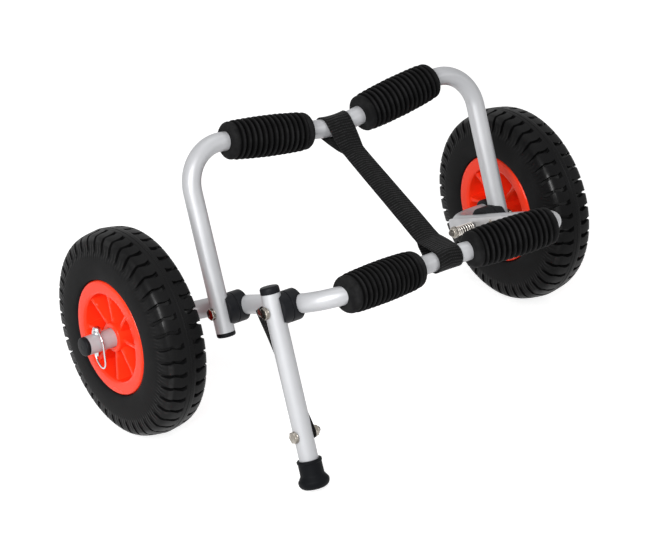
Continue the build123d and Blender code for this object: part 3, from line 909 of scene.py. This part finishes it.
coil = []
turnCount = spring["turns"] * spring["steps"]
for k in range(turnCount + 1):
    share = k / turnCount
    rise = (coilRise(share) - coilRise(0)) / (coilRise(1) - coilRise(0))
    along = lockNutX + spring["wire"] + (spring["length"] - 2 * spring["wire"]) * rise
    angle = 2 * pi * spring["turns"] * share
    coil.append(Vector((along, spring["radius"] * cos(angle), spring["radius"] * sin(angle))))
newPiece("pressureSpring", swept(coil, spring["wire"], 10, place=foldAxis), "bolt_steel", "front_frame",
         ["lock_spring"], crease=60, material=springFinish)

rivet = {"corners": [(0, 0, 0), (0, 3.5, 0.1), (0.5, 3.4, 0.2), (1.15, 2.1, 0.8), (1.2, 0.9, 0.1),
                     (0.7, 0.8, 0), (0.7, 0, 0)],
         "anchor": [(-6.5, 0, 0), (-6.5, 2.0, 0), (0, 2.0, 0), (0, 5.4, 0.1), (0.6, 5.3, 0.2),
                    (1.5, 3.4, 0.8), (1.6, 0, 0)], "anchorSeat": 0.8 * mm}
plateRivet = centreOf("lock_plate_rivet")
strapAnchor = centreOf("strap_anchor")
for name, node, x, spot, corners in (
        ("plateRivet", "lock_plate_rivet", plateFace, plateRivet, rivet["corners"]),
        ("strapAnchorRivet", "strap_anchor", -saddleX - rivet["anchorSeat"], strapAnchor, rivet["anchor"])):
    at = Matrix.Translation((x, spot.y, spot.z)) @ Matrix.Rotation(-pi / 2, 4, "Y")
    newPiece(name, lathed(corners, 3, 28, at), "bolt_steel", "front_frame", [node], crease=35)
print("fixings made")


# Lock plate: a rounded strip along the leg

shape = bmesh.new()
middle = Matrix.Translation((innerSkin - plate["thickness"] / 2, 0, (plate["start"] + plate["end"]) / 2))
size = Matrix.Diagonal((plate["thickness"], plate["width"], plate["end"] - plate["start"], 1))
bmesh.ops.create_cube(shape, size=1, matrix=middle @ size)
for offset, segments, throughPlate in ((plate["corner"], 8, True), (plate["edge"], 2, False)):
    edges = [edge for edge in shape.edges
             if (abs(edge.verts[0].co.x - edge.verts[1].co.x) > plate["thickness"] / 2) == throughPlate]
    eased(shape, edges, offset, segments)
bmesh.ops.transform(shape, matrix=frontPlace, verts=shape.verts)
newPiece("lockPlateStrip", shape, "aluminium_tube", "front_frame", ["lock_plate"], crease=35,
         material=plateFinish)


# Lynch pins and their rings

# top and bottom are the ring's ends above and below the axle
pin = {"corners": [(-17.4, 0, 0), (-17.4, 2.2, 0), (-15.6, 3.0, 0), (11.4, 3.0, 0), (11.6, 5.0, 0.2),
                   (13.4, 5.0, 0.8), (14.4, 3.4, 0.6), (15.4, 4.9, 0.8), (20.4, 4.9, 2.4), (20.4, 0, 0)],
       "inset": 15 * mm, "half": 15.5 * mm, "top": 16 * mm, "bottom": -34 * mm, "round": 15.4 * mm,
       "wire": 1.15 * mm, "swing": radians(9), "tip": radians(5)}
for side, word, low in sides:
    place = Matrix.Translation(axle + Vector((side * (axleHalf - pin["inset"]), 0, 0)))
    newPiece(f"lynchPin{word}", lathed(pin["corners"], 5, 36, place), "pin_chrome", "front_frame",
             [f"lynch_pin_{low}"], crease=40)
    ringCorners = [((0, y, z), pin["round"])
                   for y, z in ((-pin["half"], pin["top"]), (pin["half"], pin["top"]),
                                (pin["half"], pin["bottom"]), (-pin["half"], pin["bottom"]))]
    # the ring hangs from the pin's head, swung inboard and tipped a little
    hinge = Matrix.Translation((0, 0, pin["top"]))
    turn = Matrix.Rotation(side * pin["swing"], 4, "Z") @ Matrix.Rotation(side * pin["tip"], 4, "Y")
    ringShape = swept(roundedPath(ringCorners, radians(7)), pin["wire"], 14, closed=True,
                      place=place @ hinge @ turn @ hinge.inverted())
    newPiece(f"lynchRing{word}", ringShape, "pin_chrome", "front_frame", [f"lynch_ring_{low}"], crease=60)
print("pins made")


# Rubber foot

footCorners = [(0, 0, 0), (0, 18.5, 7.9), (9.6, 18.5, 2.6), (16.0, 14.3, 4.5), (30.2, 14.2, 0.8),
               (31.2, 15.0, 0.7), (34.5, 15.0, 1.2), (34.5, 12.2, 0.5), (31.5, 11.45, 0)]
at = standPlace @ Matrix.Translation((-rearX, 0, -standLength))
newPiece("rubberFoot", lathed(footCorners, 8, 64, at), "rubber_foot", "stand", ["stand_foot"], crease=50)


# Webbing: flat bands laid along a path, with their own map in metres

def band(name, path, halfWidths, across, thickness, columns, bend):
    # path points with a half width each, across the unit vector of its width
    shape = bmesh.new()
    bmesh.ops.create_grid(shape, x_segments=columns, y_segments=len(path) - 1, size=0.5)
    layer = shape.loops.layers.uv.new("strap")
    lengths = [0]
    for here, there in zip(path, path[1:]):
        lengths.append(lengths[-1] + (there - here).length)
    area = sum((there - here).length * (wide + wider)
               for here, there, wide, wider in zip(path, path[1:], halfWidths, halfWidths[1:]))
    for dot in shape.verts:
        row = round((dot.co.y + 0.5) * (len(path) - 1))
        share = dot.co.x * 2
        for loop in dot.link_loops:
            loop[layer].uv = (share * max(halfWidths), lengths[row])
        dot.co = path[row] + across * share * halfWidths[row]
        dot.co += bend(row, share * halfWidths[row])
    bmesh.ops.recalc_face_normals(shape, faces=shape.faces)
    piece = newPiece(name, shape, "webbing", crease=180, outward=False)
    wall = piece.modifiers.new("thickness", "SOLIDIFY")
    wall.thickness = thickness
    wall.offset = 0
    wall.use_even_offset = True
    return piece, lengths[-1], area


# half widths at the rear loop, the front loop and the run, and the loops' reaches from the bars
web = {"half": 17.8 * mm, "front": 16.6 * mm, "narrow": 14.6 * mm, "shift": 6 * mm,
       "thickness": 1.7 * mm, "loops": (34 * mm, 41 * mm), "lap": 35 * mm, "lapShare": 0.93,
       "gap": 1.8 * mm, "flare": 54 * mm, "frontSlack": 0.4 * mm, "columns": 20}
sag = (2 * web["half"]) ** 2 / (8 * tube["vertex"])
rise = tube["vertex"] * (1 / cos(tube["dip"]) - 1)
barMiddles = []
for where, halfSpan, reach, place in bars:
    barMiddles.append(place @ Vector((0, 0, reach - halfSpan * tan(tube["dip"]) + rise + sag / 2)))
runLength = (barMiddles[1] - barMiddles[0]).length
runAlong = (barMiddles[1] - barMiddles[0]).normalized()
runUp = Vector((1, 0, 0)).cross(runAlong)
if runUp.z < 0:
    runUp = -runUp
loopRadius = tube["radius"] + sag / 2 + faceGap + web["thickness"] / 2


def loopPoints(reach):
    # from the lap's free end, under the run and round the bar, to where the loop closes above
    touch = loopRadius / reach
    start = atan2(sqrt(1 - touch * touch), touch)
    points = [Vector((reach + web["lap"] * (1 - k / 8), -web["gap"])) for k in range(8)]
    under = Vector((loopRadius * cos(start), -loopRadius * sin(start)))
    close = Vector((reach, -web["gap"]))
    points += [close.lerp(under, k / 6) for k in range(6)]
    for k in range(33):
        angle = -start - (2 * pi - 2 * start) * k / 32
        points.append(loopRadius * Vector((cos(angle), sin(angle))))
    over = Vector((loopRadius * cos(start), loopRadius * sin(start)))
    points += [over.lerp(Vector((reach, 0)), k / 6) for k in range(1, 7)]
    return points


webPath, webHalf, webBar = [], [], []
for end, middle, reach in zip((1, -1), barMiddles, web["loops"]):
    part = []
    for point in loopPoints(reach):
        spot = middle + end * runAlong * point.x + runUp * point.y
        away = smoothStep(point.length, loopRadius * 1.1, web["flare"])
        far = (spot - barMiddles[0]).dot(runAlong) / runLength
        run = web["front"] + (web["narrow"] - web["front"]) * smoothStep(far, 0, 0.8)
        around = web["front"] + web["frontSlack"] if end > 0 else web["half"]
        half = around + (run - around) * away
        if point.y < 0 and point.x > reach:
            half *= web["lapShare"]
        part.append((spot, half, 1 - away))
    if end < 0:
        part.reverse()
    if webPath:
        last = webPath[-1]
        for k in range(1, 16):
            webPath.append(last.lerp(part[0][0], k / 16))
            webHalf.append(webHalf[-1] + (part[0][1] - webHalf[-1]) / (17 - k))
            webBar.append(0)
    spots, halves, nearness = zip(*part)
    webPath += spots
    webHalf += halves
    webBar += nearness
for spot in webPath:
    far = (spot - barMiddles[0]).dot(runAlong) / runLength
    spot.x += web["shift"] * (1 - smoothStep(far, 0.05, 0.95))
frontUp = frontPlace.to_3x3() @ Vector((0, 0, 1))
rearUp = rearPlace.to_3x3() @ Vector((0, 0, 1))


def webBend(row, across):
    # the loops follow the bars' curve, and the run cups a little
    up = frontUp if row < len(webPath) / 2 else rearUp
    curve = across * across / (2 * tube["vertex"]) - sag / 2
    cup = -0.9 * mm * (across / web["half"]) ** 2 * (1 - webBar[row])
    ripple = 0.35 * mm * noise.noise(Vector((across * 60, row * 0.21, 4.7))) * (1 - webBar[row])
    return up * curve * webBar[row] + runUp * (cup + ripple)


webPiece, webLength, webArea = band("webStrap", webPath, webHalf, Vector((1, 0, 0)), web["thickness"],
                                    web["columns"], webBend)
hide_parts("web_strap")
min(webArea, 2 * web["half"] * webLength)
barMiddles[0] + runAlong * web["loops"][0]
barMiddles[1] - runAlong * web["loops"][1]
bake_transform(webPiece)

strap = {"half": 8.0 * mm, "thickness": 1.5 * mm, "tubeGap": 1.2 * mm, "overrun": 5 * mm,
         "square": 2 * mm, "blunt": 3.5 * mm, "bow": 0.8 * mm, "rows": 48, "columns": 8}
anchorAt = Vector((-saddleX, strapAnchor.y, strapAnchor.z))
boltAt = strapBoltPlace.translation.copy()
boltAt.x = strap["tubeGap"] + tube["radius"] - rearX
strapRun = boltAt - anchorAt
strapAlong = strapRun.normalized()
strapAcross = Vector((1, 0, 0)).cross(strapAlong)
strapPath, strapHalf = [], []
for k in range(strap["rows"] + 1):
    share = k / strap["rows"]
    reach = -strap["overrun"] + (strapRun.length + strap["overrun"] + strap["half"]) * share
    fromEnd = max(0, reach - strapRun.length, -reach - strap["square"])
    strapPath.append(anchorAt + strapAlong * reach)
    strapHalf.append(max(strap["blunt"], sqrt(max(0, strap["half"] ** 2 - fromEnd ** 2))))


def strapBend(row, across):
    share = row / strap["rows"]
    bow = strap["bow"] * sin(pi * share) * sin(9 * share)
    return Vector((bow * (1 + across / strap["half"]) / 2, 0, 0))


strapPiece, strapLength, strapArea = band("standStrap", strapPath, strapHalf, strapAcross,
                                          strap["thickness"], strap["columns"], strapBend)
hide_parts("stand_strap")
min(strapArea, 2 * strap["half"] * strapLength)
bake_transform(strapPiece)
print("webbing made")


# Plain pale floor, soft lamps and the camera

# levels of the floor's colour and glow, and of the room's light
stage = {"floorHalf": 14, "floor": 0.62, "floorGlow": 0.76, "room": 0.23}


def grey(level):
    return colour(level, level, level)


def seenDirectly(shader):
    # 1 for rays from the camera and for what metal and glass reflect
    rays = [shader.node("ShaderNodeLightPath", output=name)
            for name in ("Is Camera Ray", "Is Glossy Ray", "Is Transmission Ray")]
    return shader.math("MINIMUM", rays[0] + rays[1] + rays[2], 1.0)


shape = bmesh.new()
bmesh.ops.create_grid(shape, x_segments=1, y_segments=1, size=stage["floorHalf"])
mesh = bpy.data.meshes.new("floor")
shape.to_mesh(mesh)
shape.free()
floor = bpy.data.objects.new("floor", mesh)
scene.collection.objects.link(floor)


def floorPattern(shader):
    return {"Emission Color": seenDirectly(shader).blend(grey(0), grey(stage["floorGlow"]))}


mesh.materials.append(finish("paleFloor", {"Base Color": grey(stage["floor"]), "Roughness": 0.9,
                                           "Specular IOR Level": 0.0, "Emission Strength": 1.0},
                             floorPattern))

world = bpy.data.worlds.new("paleRoom")
scene.world = world
world.use_nodes = True
tree = world.node_tree
backdrop = seenDirectly(Shader(tree)).blend(grey(stage["room"]), grey(1))
tree.links.new(backdrop.socket, tree.nodes["Background"].inputs["Color"])

view = {"azimuth": radians(-36.98), "elevation": radians(26.71), "distance": 3.46099, "lens": 154.44665,
        "target": axle + Vector((-9.2, -0.19, -13.21)) * mm}
azimuth, elevation = view["azimuth"], view["elevation"]
back = Vector((sin(azimuth) * cos(elevation), -cos(azimuth) * cos(elevation), sin(elevation)))
right = Vector((cos(azimuth), sin(azimuth), 0))
up = back.cross(right)
lampCentre = axle + Vector((0, -0.07, 0))
# name, place from the cart's middle, side in metres and watts
lamps = [
    ("key", right * -0.3 + back * 2.6 + up * 0.4, 1.5, 38),
    ("sideLeft", right * -0.95 + back * 2.4 + up * 0.2, 1.1, 29),
    ("softRight", right * 1.9 + back * 0.8 + up * 0.8, 0.6, 3),
    ("overhead", right * 0.2 - back * 0.3 + Vector((0, 0, 2.2)), 1.4, 7),
    ("glint", right * -0.9 + back * 2.0 - Vector((0, 0, 0.45)), 0.3, 5),
]
for name, offset, size, power in lamps:
    lamp = bpy.data.lights.new(name, "AREA")
    lamp.shape = "SQUARE"
    lamp.size = size
    lamp.energy = power
    holder = bpy.data.objects.new(name, lamp)
    holder.location = lampCentre + offset
    holder.rotation_mode = "QUATERNION"
    holder.rotation_quaternion = offset.to_track_quat("Z", "Y")
    scene.collection.objects.link(holder)

camera = bpy.data.cameras.new("camera")
camera.sensor_width = 36
camera.lens = view["lens"]
cameraObject = bpy.data.objects.new("camera", camera)
scene.collection.objects.link(cameraObject)
pose = Matrix((right, up, back)).transposed().to_4x4()
pose.translation = view["target"] + back * view["distance"]
cameraObject.matrix_world = pose
scene.camera = cameraObject
scene.view_settings.view_transform = "Standard"
print("stage set")
